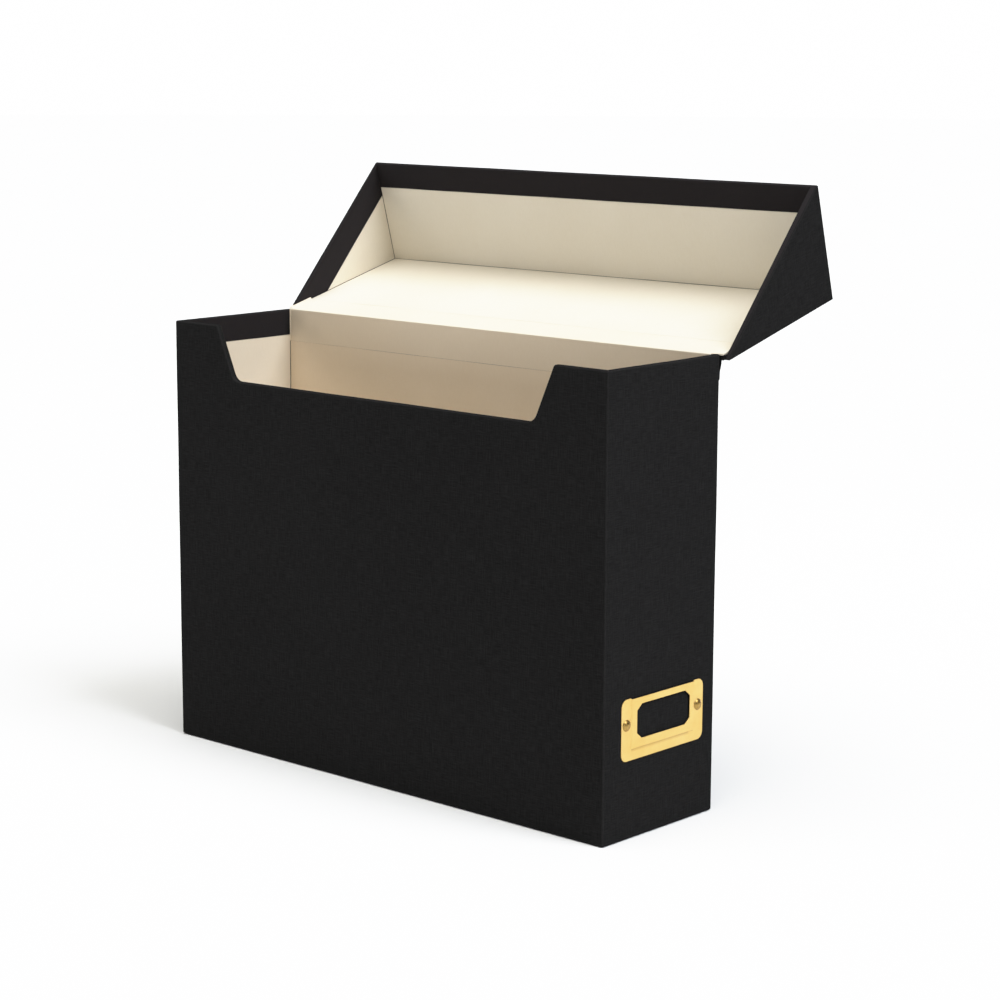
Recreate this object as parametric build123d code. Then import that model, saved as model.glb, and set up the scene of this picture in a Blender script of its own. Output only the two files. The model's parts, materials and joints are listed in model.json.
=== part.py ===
"""Archival document box with a hinged lid, built up from greyboard, book cloth and paper.

The body is a tall open-topped case with a finger scoop in its front wall. The lid hangs on a cloth hinge
along the top of the back wall: a top panel, a front flap and two tapering sides. It is drawn closed and
then swung open about the hinge line, and it is stored open. A brass label frame is pinned to the right end.

Frame: X along the box, Y from front to back, Z up. The origin is the centre of the body's base.
"""
from build123d import *
import math
import os

# ---- driving dimensions, millimetres ----
body_width = 345.0        # outside, along X
body_depth = 97.0         # outside, along Y
body_height = 262.0       # floor to the top edge
lid_width = 354.0         # outside, along X
lid_reach = 102.0         # back edge to the flap's outer face
lid_drop = 69.0           # top panel's outer face to the flap's free edge
lid_opening = 164.7       # degrees from closed to open

cloth = 0.4               # black book cloth
paper = 0.3               # cream lining paper
body_board = 3.0          # greyboard of the body
lid_board = 2.5           # greyboard of the lid
turn_in = 16.0            # cloth folded over an edge onto the inner face
hem = 15.0                # cloth folded under the base
corner_gap = 0.3          # between neighbouring linings, and between a lining and a turned-in edge

scoop_top = 134.5         # half-width at the top edge
scoop_bottom = 120.0      # half-width at its floor
scoop_depth = 32.8
scoop_floor_radius = 7.0
scoop_lip_radius = 2.0

hinge_on_wall = 20.0      # hinge strips' hold on the back wall
hinge_on_lid = 18.0       # hinge strips' hold on the lid
lid_clearance = 0.8       # closed lid's lining above the body's top edge
lid_setback = 2.0         # closed lid's back edge inside the back wall's outer face
base_inset = 3.0          # base cover's edge inside the body's outer faces

frame_width = 72.0        # label frame, along Y
frame_height = 35.0       # label frame, along Z
frame_middle = (1.8, 62.6)   # its centre in Y and Z
frame_sheet = 0.5         # brass sheet
frame_corner = 4.5
channel_width = 55.6      # raised card channel
channel_foot = 6.2        # flat rail under the channel
channel_depth = 0.7       # room for the card
channel_top_gap = 0.5     # channel's lip below the frame's top edge
window_width = 46.6
window_height = 19.6
window_bottom = 11.2      # above the frame's lower edge
window_corner = (4.2, 3.4)   # cut-off corners, along Y and Z
pin_spread = 63.0         # distance between the two pins
pin_level = 20.3          # above the frame's lower edge
pin_head_radius = 3.3
pin_head_height = 1.5
pin_shank_radius = 0.9
pin_hole_radius = 1.0
leg_length = 8.0
leg_width = 1.5
leg_sheet = 0.4
leg_slot = 0.5            # depth of the dent in the board that the legs lie in

# ---- places that follow from them ----
half_width = body_width / 2
half_depth = body_depth / 2
board_base = 2 * cloth                        # underside of the body's boards
board_top = body_height - cloth
board_out = cloth                             # depth of a body board's outer face
board_in = cloth + body_board                 # depth of its inner face
lining_in = board_in + paper                  # depth of the lining's face
base_top = board_base + body_board            # upper face of the base board
floor_top = base_top + paper

lid_half = lid_width / 2
lid_in = cloth + lid_board                    # depth of a lid board's inner face
lid_lining_in = lid_in + paper
lid_back = half_depth - lid_setback
lid_slope = lid_drop / lid_reach              # of the tapering sides' free edge
lid_top = body_height + lid_clearance + lid_lining_in
hinge_line = Axis((0, half_depth, body_height), (1, 0, 0))


def block(x_span, y_span, z_span):
    """Box between two values on each axis."""
    spans = (x_span, y_span, z_span)
    middle = [(low + high) / 2 for low, high in spans]
    size = [high - low for low, high in spans]
    return Pos(*middle) * Box(*size)


def both_ways(value):
    return (-value, value)


def slab_along_y(face, low, high):
    """Face drawn in X and Z, extruded from one Y to another."""
    return extrude(Plane.XZ.offset(-high) * face, amount=high - low)


def slab_along_x(face, low, high):
    """Face drawn in Y and Z, extruded from one X to another."""
    return extrude(Plane.YZ.offset(low) * face, amount=high - low)


def mirrored(shape):
    return mirror(shape, about=Plane.YZ)


# ---- body ----
def front_outline(half, bottom, inset):
    """Front wall in X and Z, drawn back by inset from its top edge and from the scoop."""
    lean = (scoop_top - scoop_bottom) / scoop_depth
    shift = inset * (math.hypot(1, lean) - lean)
    top = body_height - inset
    lip = scoop_top + shift
    floor_half = scoop_bottom + shift
    floor = body_height - scoop_depth - inset
    right = [(half, bottom), (half, top), (lip, top), (floor_half, floor)]
    left = [(-x, z) for x, z in reversed(right)]
    face = make_face(Polyline(*right, *left, close=True))
    floor_corners = [v for v in face.vertices() if abs(v.Y - floor) < 0.01]
    face = fillet(floor_corners, scoop_floor_radius + inset)
    if inset < scoop_lip_radius:
        lip_corners = [v for v in face.vertices() if abs(v.Y - top) < 0.01 and abs(v.X) < lip + 0.01]
        face = fillet(lip_corners, scoop_lip_radius - inset)
    return face


def front_board():
    face = front_outline(half_width - board_out, board_base, cloth)
    return slab_along_y(face, -half_depth + board_out, -half_depth + board_in)


def back_board():
    depths = (half_depth - board_in, half_depth - board_out)
    return block(both_ways(half_width - board_out), depths, (board_base, board_top))


def end_board():
    """Right-hand end board, plain."""
    spans = (half_width - board_in, half_width - board_out)
    return block(spans, both_ways(half_depth - board_in), (board_base, board_top))


def pinned_end_board():
    """Right end board with the two pin holes and the dents for the pins' legs."""
    board = end_board()
    face = half_width - board_in
    for y, z in pin_places():
        hole = Pos(half_width, y, z) * Rot(0, 90, 0) * Cylinder(pin_hole_radius, 4 * body_board)
        reach = leg_length + corner_gap
        dent = block((face - 1, face + leg_slot), (y - leg_width, y + leg_width), (z - reach, z + reach))
        board -= hole + dent
    return board


def base_board():
    sizes = (both_ways(half_width - board_in), both_ways(half_depth - board_in))
    return block(*sizes, (board_base, base_top))


def ring(outer, inner, z_span):
    """Level ring between two insets from the body's outer faces."""
    outside = block(both_ways(half_width - outer), both_ways(half_depth - outer), z_span)
    return outside - block(both_ways(half_width - inner), both_ways(half_depth - inner), z_span)


def body_cover():
    """One wrap of cloth: four outer faces, a hem under the base, and the top edges turned in.

    The back wall's top edge is left to the hinge liner.
    """
    front = -half_depth
    inner = board_in + cloth
    cover = ring(0, cloth, (cloth, board_top))
    cover += ring(0, hem, (cloth, board_base))
    # side walls: top edge and turned-in strip
    rim = block((half_width - inner, half_width), both_ways(half_depth), (board_top, body_height))
    strip_top = (body_height - turn_in, board_top)
    strip = block((half_width - inner, half_width - board_in), both_ways(half_depth - board_in), strip_top)
    for side in (rim, strip):
        cover += side
        cover += mirrored(side)
    # front wall: cleared, then its face, its edge and its turned-in strip, all following the scoop
    cover -= block(both_ways(scoop_top + turn_in), (front - 1, front + cloth), (board_base, body_height + 1))
    cover += slab_along_y(front_outline(half_width, board_base, 0), front, front + cloth)
    edge = front_outline(half_width, board_base, 0) - front_outline(half_width, board_base, cloth)
    cover += slab_along_y(edge, front + cloth, front + inner)
    inner_half = half_width - board_in
    turned = front_outline(inner_half, board_base, 0) - front_outline(inner_half, board_base, turn_in)
    cover += slab_along_y(turned, front + board_in, front + inner)
    for y, z in pin_places():
        cover -= Pos(half_width, y, z) * Rot(0, 90, 0) * Cylinder(pin_hole_radius, 4 * cloth)
    return cover


def base_cover():
    """Cloth sheet under the base. It lies over the hem, and fills the hem's opening."""
    sheet = block(both_ways(half_width - base_inset), both_ways(half_depth - base_inset), (0, cloth))
    middle = block(both_ways(half_width - hem), both_ways(half_depth - hem), (cloth, board_base))
    return sheet + middle


def front_lining():
    half = half_width - lining_in - corner_gap
    face = front_outline(half, floor_top + corner_gap, turn_in + corner_gap)
    return slab_along_y(face, -half_depth + board_in, -half_depth + lining_in)


def back_lining():
    depths = (half_depth - lining_in, half_depth - board_in)
    heights = (floor_top + corner_gap, body_height - hinge_on_wall - corner_gap)
    return block(both_ways(half_width - lining_in - corner_gap), depths, heights)


def end_lining():
    spans = (half_width - lining_in, half_width - board_in)
    heights = (floor_top + corner_gap, body_height - turn_in - corner_gap)
    return block(spans, both_ways(half_depth - lining_in - corner_gap), heights)


def base_lining():
    sizes = (both_ways(half_width - board_in), both_ways(half_depth - board_in))
    return block(*sizes, (base_top, floor_top))


# ---- lid, drawn closed ----
# A point of its section is given by how far forward of the back edge and how far below the top face it is.
def lid_point(forward, down):
    return (lid_back - forward, lid_top - down)


def lid_block(x_span, forward_span, down_span):
    near, far = forward_span
    high, low = down_span
    return block(x_span, (lid_back - far, lid_back - near), (lid_top - low, lid_top - high))


def side_outline(inset, down, forward):
    """Tapering side between a depth below the top face, a distance forward, and the sloping edge.

    The sloping edge runs from the lid's back edge to the flap's free corner, drawn back by inset.
    """
    drawn_back = inset * math.hypot(1, lid_slope)
    points = [(forward, down), (forward, forward * lid_slope - drawn_back)]
    points += [((down + drawn_back) / lid_slope, down)]
    corners = [lid_point(*point) for point in points]
    return make_face(Polyline(*corners, close=True))


def lid_top_board():
    """Top panel, held between the two tapering sides."""
    return lid_block(both_ways(lid_half - lid_in), (cloth, lid_reach - cloth), (cloth, lid_in))


def lid_front_board():
    spans = (lid_reach - lid_in, lid_reach - cloth)
    return lid_block(both_ways(lid_half - lid_in), spans, (lid_in, lid_drop - cloth))


def lid_side_board():
    face = side_outline(cloth, cloth, lid_reach - cloth)
    return slab_along_x(face, lid_half - lid_in, lid_half - cloth)


def lid_heel():
    """Outline of the top board's end where it stands above the tapering side, at the lid's back edge."""
    corners = [lid_point(*point) for point in ((0, 0), (0, lid_in), (lid_in / lid_slope, lid_in))]
    return make_face(Polyline(*corners, close=True))


def lid_cover():
    """Cloth over the top panel, flap and sides, wrapped round the back edge and turned in elsewhere.

    At the back it also covers the ends of the top board that stand above the tapering sides.
    """
    inner = lid_in + cloth
    whole = both_ways(lid_half)
    inside = both_ways(lid_half - lid_in)
    cover = lid_block(whole, (0, lid_reach), (0, cloth))
    cover += lid_block(inside, (0, cloth), (cloth, lid_in))
    cover += lid_block(whole, (lid_reach - cloth, lid_reach), (cloth, lid_drop))
    cover += lid_block(inside, (lid_reach - inner, lid_reach), (lid_drop - cloth, lid_drop))
    cover += lid_block(inside, (lid_reach - inner, lid_reach - lid_in), (lid_drop - turn_in, lid_drop))
    outside = slab_along_x(side_outline(0, 0, lid_reach), lid_half - cloth, lid_half)
    edge_face = side_outline(0, cloth, lid_reach) - side_outline(cloth, cloth, lid_reach)
    edge = slab_along_x(edge_face, lid_half - lid_in, lid_half)
    turned_face = side_outline(0, lid_in, lid_reach - lid_in)
    turned_face -= side_outline(turn_in, lid_in, lid_reach - lid_in)
    turned = slab_along_x(turned_face, lid_half - inner, lid_half - lid_in)
    heel = slab_along_x(lid_heel(), lid_half - lid_in, lid_half - lid_in + cloth)
    for side in (outside, edge, turned, heel):
        cover += side
        cover += mirrored(side)
    return cover


def lid_top_lining():
    half = lid_half - lid_lining_in - corner_gap
    spans = (hinge_on_lid + corner_gap, lid_reach - lid_lining_in)
    return lid_block(both_ways(half), spans, (lid_in, lid_lining_in))


def lid_front_lining():
    half = lid_half - lid_lining_in - corner_gap
    spans = (lid_reach - lid_lining_in, lid_reach - lid_in)
    drops = (lid_lining_in + corner_gap, lid_drop - turn_in - corner_gap)
    return lid_block(both_ways(half), spans, drops)


def lid_side_lining():
    down = lid_lining_in + corner_gap
    face = side_outline(turn_in + corner_gap, down, lid_reach - lid_lining_in - corner_gap)
    return slab_along_x(face, lid_half - lid_lining_in, lid_half - lid_in)


def swung_open(shape):
    return shape.rotate(hinge_line, -lid_opening)


# ---- hinge strips, drawn with the lid open ----
def opened_point(forward, down):
    """Lid section point in Y and Z after the lid is swung open."""
    y, z = lid_point(forward, down)
    turned = Vector(y - half_depth, z - body_height).rotate(Axis.Z, -lid_opening)
    return (half_depth + turned.X, body_height + turned.Y)


def strip_face(points, thickness):
    """Band of even thickness to the right of a path in Y and Z, with mitred corners."""
    vectors = [Vector(*point) for point in points]
    runs = [(b - a).normalized() for a, b in zip(vectors, vectors[1:])]
    rights = [Vector(run.Y, -run.X) for run in runs]
    far = []
    for i, point in enumerate(vectors):
        before = rights[max(i - 1, 0)]
        after = rights[min(i, len(rights) - 1)]
        far.append(point + (before + after) * (thickness / (1 + before.dot(after))))
    outline = vectors + far[::-1]
    return make_face(Polyline(*[(v.X, v.Y) for v in outline], close=True))


def hinge_liner():
    """Cream strip: back wall's inner face, over its top edge, across to the lid's inner face."""
    wall_in = half_depth - board_in
    step = opened_point(0, lid_in)
    path = [(wall_in, body_height - hinge_on_wall), (wall_in, board_top)]
    path += [(half_depth, board_top), step, opened_point(hinge_on_lid, lid_in)]
    path = path[::-1]
    on_lid = strip_face(path[:2], paper)
    on_wall = strip_face(path[1:], paper)
    body_half = half_width - board_in - cloth - corner_gap
    lid_part = slab_along_x(on_lid, *both_ways(lid_half - lid_in - cloth - corner_gap))
    return lid_part + slab_along_x(on_wall, *both_ways(body_half))


def hinge_cloth():
    """Black strip: back wall's outer face, across the gap, round the lid's back edge, over its top face."""
    path = [(half_depth, body_height - hinge_on_wall), (half_depth, board_top - 2 * cloth)]
    path += [opened_point(0, lid_in - 2 * cloth), opened_point(0, 0), opened_point(hinge_on_lid, 0)]
    return slab_along_x(strip_face(path, cloth), *both_ways(half_width))


# ---- label frame ----
def window_centre():
    """The frame window's centre in Y and Z."""
    y, z = frame_middle
    return (y, z - frame_height / 2 + window_bottom + window_height / 2)


def pin_places():
    """Centres of the two pins in Y and Z."""
    y = frame_middle[0]
    z = frame_middle[1] - frame_height / 2 + pin_level
    return [(y - pin_spread / 2, z), (y + pin_spread / 2, z)]


def label_frame():
    """Brass sheet with a raised channel, open at the top, that a card slides down into."""
    y, z = frame_middle
    foot = z - frame_height / 2
    plate = Pos(y, z) * RectangleRounded(frame_width, frame_height, frame_corner)
    channel_low = foot + channel_foot
    channel_high = foot + frame_height - channel_top_gap
    channel_middle = Pos(y, (channel_low + channel_high) / 2)
    channel = channel_middle * Rectangle(channel_width, channel_high - channel_low)
    room_middle = Pos(y, channel_low + frame_sheet + frame_height / 2)
    room = room_middle * Rectangle(channel_width - 2 * frame_sheet, frame_height)
    window = Pos(*window_centre()) * chamfered_window()
    face = half_width
    raised = slab_along_x(channel, face, face + channel_depth + frame_sheet)
    frame = slab_along_x(plate, face, face + frame_sheet) + raised
    frame -= slab_along_x(room, face - 1, face + channel_depth)
    return frame - slab_along_x(window, face - 1, face + 3)


def chamfered_window():
    w, h = window_width / 2, window_height / 2
    cut_y, cut_z = window_corner
    top = [(w, h - cut_z), (w - cut_y, h), (cut_y - w, h), (-w, h - cut_z)]
    bottom = [(-y, -z) for y, z in top]
    return make_face(Polyline(*top, *bottom, close=True))


def label_pin(y, z):
    """Split pin: domed head on the frame, shank through the wall, two legs bent flat behind the board.

    It is drawn standing on its legs and then laid along X.
    """
    legs_at = half_width - board_in + leg_slot - leg_sheet
    shank_length = half_width + frame_sheet - legs_at
    dome_radius = (pin_head_radius ** 2 + pin_head_height ** 2) / (2 * pin_head_height)
    head = Pos(0, 0, pin_head_height - dome_radius) * Sphere(dome_radius)
    head &= Pos(0, 0, dome_radius) * Box(4 * dome_radius, 4 * dome_radius, 2 * dome_radius)
    shank = Pos(0, 0, shank_length / 2) * Cylinder(pin_shank_radius, shank_length)
    legs = Pos(0, 0, leg_sheet / 2) * Box(2 * leg_length, leg_width, leg_sheet)
    pin = Pos(0, 0, shank_length) * head + shank + legs
    return Pos(legs_at, y, z) * Rot(0, 90, 0) * pin


def frame_with_pin_holes():
    frame = label_frame()
    for y, z in pin_places():
        frame -= Pos(half_width, y, z) * Rot(0, 90, 0) * Cylinder(pin_hole_radius, 8 * frame_sheet)
    return frame


def label_pins():
    return Compound([label_pin(y, z).solid() for y, z in pin_places()])


# ---- the nodes ----
body_nodes = {
    "front_board": front_board(),
    "back_board": back_board(),
    "left_end_board": mirrored(end_board()),
    "right_end_board": pinned_end_board(),
    "base_board": base_board(),
    "body_cover": body_cover(),
    "base_cover": base_cover(),
    "front_lining": front_lining(),
    "back_lining": back_lining(),
    "left_lining": mirrored(end_lining()),
    "right_lining": end_lining(),
    "base_lining": base_lining(),
    "hinge_cloth": hinge_cloth(),
    "hinge_liner": hinge_liner(),
    "label_frame": frame_with_pin_holes(),
    "label_pins": label_pins(),
}
lid_nodes = {
    "lid_top_board": lid_top_board(),
    "lid_front_board": lid_front_board(),
    "lid_left_board": mirrored(lid_side_board()),
    "lid_right_board": lid_side_board(),
    "lid_cover": lid_cover(),
    "lid_top_lining": lid_top_lining(),
    "lid_front_lining": lid_front_lining(),
    "lid_left_lining": mirrored(lid_side_lining()),
    "lid_right_lining": lid_side_lining(),
}

os.makedirs("parts", exist_ok=True)
for name, shape in body_nodes.items():
    export_step(shape, f"parts/{name}.step")
for name, shape in lid_nodes.items():
    export_step(swung_open(shape), f"parts/{name}.step")
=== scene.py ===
import json
import math

import bmesh
import bpy
from mathutils import Matrix, Vector, noise
from mathutils.geometry import tessellate_polygon


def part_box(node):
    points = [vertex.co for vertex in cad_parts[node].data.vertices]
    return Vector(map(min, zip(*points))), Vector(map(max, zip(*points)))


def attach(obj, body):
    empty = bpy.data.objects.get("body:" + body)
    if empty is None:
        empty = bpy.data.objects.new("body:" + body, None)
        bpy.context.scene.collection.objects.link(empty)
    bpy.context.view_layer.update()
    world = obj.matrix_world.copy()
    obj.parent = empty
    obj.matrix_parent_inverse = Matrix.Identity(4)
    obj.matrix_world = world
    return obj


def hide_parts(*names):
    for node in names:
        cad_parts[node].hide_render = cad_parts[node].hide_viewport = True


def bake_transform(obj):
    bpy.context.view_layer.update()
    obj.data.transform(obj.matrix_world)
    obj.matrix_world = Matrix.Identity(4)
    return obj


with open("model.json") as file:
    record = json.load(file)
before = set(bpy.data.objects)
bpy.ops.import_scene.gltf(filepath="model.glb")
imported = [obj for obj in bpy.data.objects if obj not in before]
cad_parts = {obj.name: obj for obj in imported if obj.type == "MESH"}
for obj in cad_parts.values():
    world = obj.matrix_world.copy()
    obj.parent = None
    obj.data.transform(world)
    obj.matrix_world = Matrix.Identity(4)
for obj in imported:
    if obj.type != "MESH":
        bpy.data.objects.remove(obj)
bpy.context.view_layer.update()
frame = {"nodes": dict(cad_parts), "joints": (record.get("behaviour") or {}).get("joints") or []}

MM = 0.001

# ---- sizes, millimetres ----
CLOTH = 0.4
PAPER = 0.3
BODY_BOARD = 3.0
LID_BOARD = 2.5
TURN_IN = 16.0
HEM = 15.0
BASE_INSET = 3.0
GAP = 0.3                 # between neighbouring linings
SCOOP_TOP = 134.5         # half-width of the finger scoop at the top edge
SCOOP_BOTTOM = 120.0
SCOOP_DEPTH = 32.8
SCOOP_FLOOR_RADIUS = 7.0
SCOOP_LIP_RADIUS = 2.0
LID_DROP = 69.0
HINGE_ON_WALL = 20.0
HINGE_ON_LID = 18.0
FOLD_RADIUS = 1.0         # cloth folded over a body board's edge
LID_FOLD_RADIUS = 0.5
CELL = 9.0                # mesh spacing on the flat faces
BESIDE_FOLD = 0.5         # from a fold to the mesh line that keeps its wear narrow
SEAM = 0.12               # between a hinge strip's edge and the lining below or beyond it

body_low, body_high = [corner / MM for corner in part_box("body_cover")]
half_width, half_depth = body_high.x, body_high.y
foot, top = body_low.z, body_high.z
board_in = CLOTH + BODY_BOARD
turned_in = board_in + CLOTH
lining_in = board_in + PAPER
floor_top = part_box("base_lining")[1].z / MM

joint = frame["joints"][0]
hinge_y, hinge_z = joint["pos_m"][1] / MM, joint["pos_m"][2] / MM
opening = math.radians(max(joint["range_deg"]))
swing = Matrix.Translation((0, hinge_y, hinge_z)) @ Matrix.Rotation(-opening, 4, "X")
swing = swing @ Matrix.Translation((0, -hinge_y, -hinge_z))
lid_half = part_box("lid_cover")[1].x / MM
lid_in = CLOTH + LID_BOARD
lid_turned = lid_in + CLOTH
lid_lining = lid_in + PAPER
lid_back = hinge_y - 2.0
lid_top = top + 0.8 + lid_lining
lid_reach = 102.0
slope = LID_DROP / lid_reach
LID_TIP = 1.05            # the tapering sides' height at the lid's back edge


# ---- nodes and materials ----
class Tree:
    """A material's node tree, with short calls for the nodes it is made of."""

    def __init__(self, name):
        self.material = bpy.data.materials.new(name)
        self.material.use_nodes = True
        self.nodes = self.material.node_tree.nodes
        self.links = self.material.node_tree.links
        self.nodes.clear()
        self.out = self.nodes.new("ShaderNodeOutputMaterial")

    def add(self, kind, inputs=None, output=0, **settings):
        """New node with its settings, and its inputs linked or set. Gives back one of its outputs."""
        node = self.nodes.new("ShaderNode" + kind)
        for key, value in settings.items():
            setattr(node, key, value)
        for key, value in (inputs or {}).items():
            if isinstance(value, bpy.types.NodeSocket):
                self.links.new(value, node.inputs[key])
            else:
                node.inputs[key].default_value = value
        return node.outputs[output]

    def math(self, operation, a, b=0.0, c=0.0, clamp=False):
        return self.add("Math", {0: a, 1: b, 2: c}, operation=operation, use_clamp=clamp)

    def scaled_uv(self, across, along, shift=0.0):
        """The piece's own surface coordinates, in metres, times a scale each way."""
        uv = self.add("UVMap", uv_map="surface")
        return self.add("Mapping", {0: uv, 1: (shift, shift, shift), 3: (across, along, 1.0)})

    def noise(self, across, along, detail=2.0, roughness=0.5, shift=0.0, distortion=0.0):
        """Noise from 0 to 1, with its spots per metre given for each way of the surface."""
        inputs = {"Vector": self.scaled_uv(across, along, shift), "Scale": 1.0}
        inputs.update({"Detail": detail, "Roughness": roughness, "Distortion": distortion})
        return self.add("TexNoise", inputs, noise_dimensions="2D")

    def ramp(self, value, low, high, to_low=0.0, to_high=1.0):
        return self.add("MapRange", {0: value, 1: low, 2: high, 3: to_low, 4: to_high})

    def mix(self, share, first, second):
        return self.add("Mix", {0: share, 6: first, 7: second}, output=2, data_type="RGBA")

    def attribute(self, name):
        return self.add("Attribute", output=2, attribute_name=name)

    def bump(self, height, distance, strength=1.0, normal=None):
        inputs = {"Height": height, "Distance": distance, "Strength": strength}
        if normal is not None:
            inputs["Normal"] = normal
        return self.add("Bump", inputs)

    def shade(self, inputs):
        shader = self.add("BsdfPrincipled", inputs)
        self.links.new(shader, self.out.inputs["Surface"])
        return self.material


def book_cloth():
    """Black linen: uneven threads both ways with slubs, painted paler where it is turned in for the light
    it catches there, and paler at folds from rubbed wear and a painted highlight.
    """
    tree = Tree("black_book_cloth")
    pitch = 0.00042           # metres from thread to thread
    wobble = tree.noise(180, 180, detail=1, shift=3.1)
    surface_place = tree.add("SeparateXYZ", {0: tree.add("UVMap", uv_map="surface")}).node
    turns = []
    for axis in (0, 1):
        place = tree.math("MULTIPLY_ADD", wobble, pitch * 0.9, surface_place.outputs[axis])
        turns.append(tree.math("SINE", tree.math("MULTIPLY", place, 2 * math.pi / pitch)))
    over_under = tree.math("MULTIPLY", turns[0], turns[1])
    warp = tree.noise(2300, 120, detail=3, roughness=0.6, shift=1.7)
    weft = tree.noise(150, 2300, detail=3, roughness=0.6, shift=8.3)
    threads = tree.math("ADD", warp, weft)
    slub_warp = tree.ramp(tree.noise(1500, 45, detail=2, shift=21.0), 0.62, 0.78)
    slub_weft = tree.ramp(tree.noise(45, 1500, detail=2, shift=34.0), 0.62, 0.78)
    slubs = tree.math("MAXIMUM", slub_warp, slub_weft)
    cloud = tree.noise(9, 9, detail=4, roughness=0.6, shift=5.0)
    light = tree.math("MULTIPLY_ADD", over_under, 0.14, tree.ramp(threads, 0.75, 1.25, 0.1, 0.9))
    light = tree.math("MULTIPLY_ADD", slubs, 0.35, light)
    light = tree.math("ADD", light, tree.ramp(cloud, 0.3, 0.7, -0.06, 0.06), clamp=True)
    colour = tree.mix(light, (0.0088, 0.0087, 0.0087, 1), (0.0180, 0.0177, 0.0177, 1))
    # painted light: the turned-in cloth is a paler copy of the same cloth, for the light it catches inside
    # the box and lid
    colour = tree.mix(tree.attribute("turned"), colour, (0.0262, 0.0232, 0.0244, 1))
    # fold crowns paler: partly rubbed wear, partly a painted highlight where the rounded edges catch the
    # light
    wear_and_highlight_breaks = tree.ramp(tree.noise(420, 420, detail=4, roughness=0.7, shift=11.0), 0.35, 0.7)
    wear_and_highlight = tree.math("MULTIPLY", tree.attribute("fold"), tree.math("MULTIPLY_ADD", wear_and_highlight_breaks, 0.5, 0.25))
    colour = tree.mix(wear_and_highlight, colour, (0.024, 0.023, 0.023, 1))
    height = tree.math("ADD", tree.math("MULTIPLY", over_under, 0.25), threads)
    height = tree.math("MULTIPLY_ADD", slubs, 0.8, height)
    normal = tree.bump(height, 0.00012, 0.6)
    return tree.shade({
        "Base Color": colour,
        "Roughness": tree.ramp(light, 0, 1, 0.92, 0.78),
        "Specular IOR Level": 0.0,
        "Sheen Weight": 0.01,
        "Sheen Roughness": 0.6,
        "Normal": normal,
    })


def cream_paper():
    """Uncoated lining paper: faint mottling, fine fibres, a slight tooth, and a warmer tone where marked,
    which is painted shade.
    """
    tree = Tree("cream_paper")
    cloud = tree.noise(14, 14, detail=5, roughness=0.6, shift=2.0)
    fibre = tree.noise(900, 260, detail=4, roughness=0.65, shift=6.0, distortion=0.6)
    fleck = tree.ramp(tree.noise(700, 700, detail=2, shift=9.0), 0.70, 0.80)
    shade = tree.math("ADD", tree.ramp(cloud, 0.3, 0.7, 0.0, 0.6), tree.ramp(fibre, 0.3, 0.7, 0.0, 0.4))
    # painted shade: the marked copy is warmer, standing in for the tint of the shaded inner walls
    cool = tree.mix(shade, (0.790, 0.722, 0.594, 1), (0.830, 0.768, 0.650, 1))
    shade_warmth = tree.mix(shade, (0.880, 0.735, 0.555, 1), (0.925, 0.785, 0.610, 1))
    colour = tree.mix(tree.attribute("shade_warmth"), cool, shade_warmth)
    colour = tree.mix(tree.math("MULTIPLY", fleck, 0.10), colour, (0.62, 0.52, 0.38, 1))
    tooth = tree.math("ADD", fibre, tree.noise(2600, 2600, detail=2, shift=4.0))
    normal = tree.bump(tooth, 0.00004, 0.5)
    return tree.shade({
        "Base Color": colour,
        "Roughness": tree.ramp(fibre, 0.3, 0.7, 0.72, 0.84),
        "Specular IOR Level": 0.25,
        "Normal": normal,
    })


def greyboard():
    """Pressed grey-brown board with flecks of pulp, patterned in space as it has no surface coordinates."""
    tree = Tree("greyboard")
    place = tree.add("TexCoord", output=3)
    pulp = tree.add("TexNoise", {"Vector": place, "Scale": 420.0, "Detail": 5.0, "Roughness": 0.7})
    fleck = tree.add("TexVoronoi", {"Vector": place, "Scale": 900.0})
    colour = tree.mix(tree.ramp(pulp, 0.3, 0.7), (0.20, 0.175, 0.14, 1), (0.31, 0.28, 0.235, 1))
    colour = tree.mix(tree.ramp(fleck, 0.0, 0.12, 0.5, 0.0), colour, (0.09, 0.08, 0.07, 1))
    normal = tree.bump(pulp, 0.0001, 0.6)
    return tree.shade({"Base Color": colour, "Roughness": 0.9, "Specular IOR Level": 0.2, "Normal": normal})


def brass_sheet():
    """Lacquered brass sheet: soft rolling lines, a few fine scratches, and a painted dark reflection along
    the bends.
    """
    tree = Tree("brass_sheet")
    rolled = tree.noise(60, 2600, detail=3, roughness=0.6, shift=1.0)
    scratch = tree.ramp(tree.noise(300, 5200, detail=2, shift=7.0), 0.66, 0.74)
    cloud = tree.noise(70, 70, detail=4, roughness=0.6, shift=3.0)
    colour = tree.mix(tree.ramp(cloud, 0.3, 0.7), (0.830, 0.560, 0.180, 1), (0.865, 0.605, 0.222, 1))
    # painted reflection: the bends are darkened where they would reflect darker surroundings
    colour = tree.mix(tree.math("MULTIPLY", tree.attribute("bend_darkening"), 0.6), colour, (0.40, 0.25, 0.07, 1))
    rough = tree.math("MULTIPLY_ADD", scratch, 0.12, tree.ramp(rolled, 0.3, 0.7, 0.33, 0.42))
    height = tree.math("MULTIPLY_ADD", scratch, -0.5, rolled)
    normal = tree.bump(height, 0.000012, 0.5)
    return tree.shade({"Base Color": colour, "Metallic": 1.0, "Roughness": rough, "Normal": normal})


def pin_metal():
    """Pin heads: darker brass, tarnished in patches."""
    tree = Tree("pin_metal")
    patches = tree.noise(900, 900, detail=4, roughness=0.6, shift=2.0)
    colour = tree.mix(tree.ramp(patches, 0.35, 0.7), (0.37, 0.235, 0.065, 1), (0.51, 0.335, 0.11, 1))
    rough = tree.ramp(patches, 0.3, 0.7, 0.34, 0.46)
    normal = tree.bump(patches, 0.00002, 0.4)
    return tree.shade({"Base Color": colour, "Metallic": 1.0, "Roughness": rough, "Normal": normal})


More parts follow.
